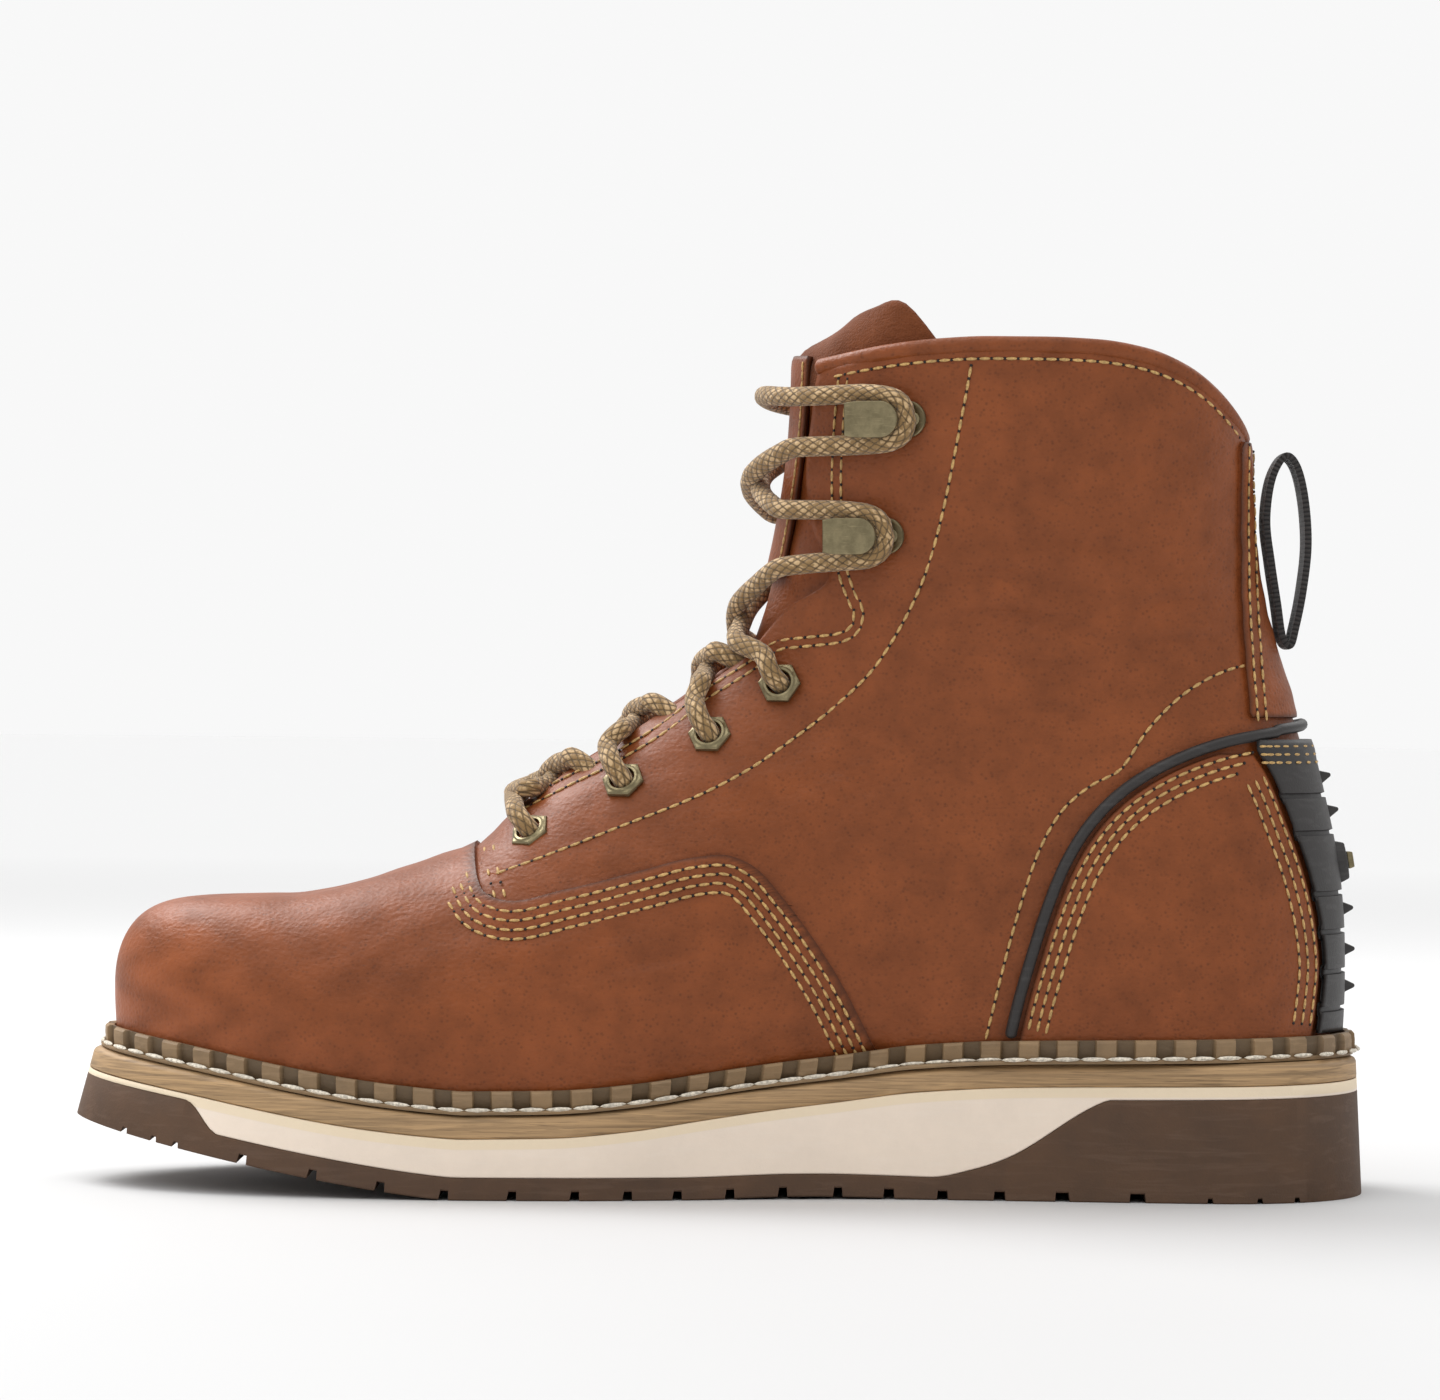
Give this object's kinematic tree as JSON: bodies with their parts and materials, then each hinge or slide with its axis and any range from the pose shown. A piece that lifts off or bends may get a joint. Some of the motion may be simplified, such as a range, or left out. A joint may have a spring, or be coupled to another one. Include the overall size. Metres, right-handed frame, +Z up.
{
  "type": "wedge sole work boot",
  "caption": "Six-inch lace-up leather work boot for the right foot, with a storm welt, a layered wedge sole, speed hooks, a ribbed heel guard and a pull loop.",
  "frame": {"origin": "on the floor under the middle of the boot's box", "axes": "+Z up, +X from toe to heel, -Y towards the inner side of the foot"},
  "size_m": [0.3098, 0.1083, 0.2114],
  "materials": {
    "tan_leather": "smooth oiled full-grain leather, warm rust brown with a mottled grain",
    "tongue_leather": "brown leather and suede",
    "brown_rubber": "matte dark brown tread rubber",
    "cream_foam": "matte cream foam rubber with a fine side grain",
    "tan_rubber": "matte tan rubber with a wood-like side grain",
    "black_rubber": "satin black moulded rubber",
    "black_webbing": "black woven tape",
    "aged_brass": "antique brass, slightly polished",
    "lace_cord": "braided brown cord with light flecks",
    "footbed": "brown lining board"
  },
  "bodies": {
    "root": {"outsole": "brown_rubber", "cream_midsole": "cream_foam", "top_midsole": "tan_rubber", "welt": "tan_rubber", "insole": "footbed", "upper": "tan_leather", "counter_pocket_inner": "tan_leather", "counter_pocket_outer": "tan_leather", "piping": "black_rubber", "heel_guard": "black_rubber", "boss_cap": "aged_brass", "collar_binding": "tan_leather", "tongue": "tongue_leather", "tongue_patch": "tongue_leather", "pull_loop": "black_webbing", "lace_top_bar": "lace_cord", "lace_cross_1": "lace_cord", "lace_cross_2": "lace_cord", "lace_cross_3": "lace_cord", "lace_cross_4": "lace_cord", "lace_cross_5": "lace_cord", "eyelet_inner_1": "aged_brass", "eyelet_inner_2": "aged_brass", "eyelet_inner_3": "aged_brass", "eyelet_inner_4": "aged_brass", "hook_inner_1": "aged_brass", "hook_inner_2": "aged_brass", "eyelet_outer_1": "aged_brass", "eyelet_outer_2": "aged_brass", "eyelet_outer_3": "aged_brass", "eyelet_outer_4": "aged_brass", "hook_outer_1": "aged_brass", "hook_outer_2": "aged_brass"}
  },
  "joints": []
}
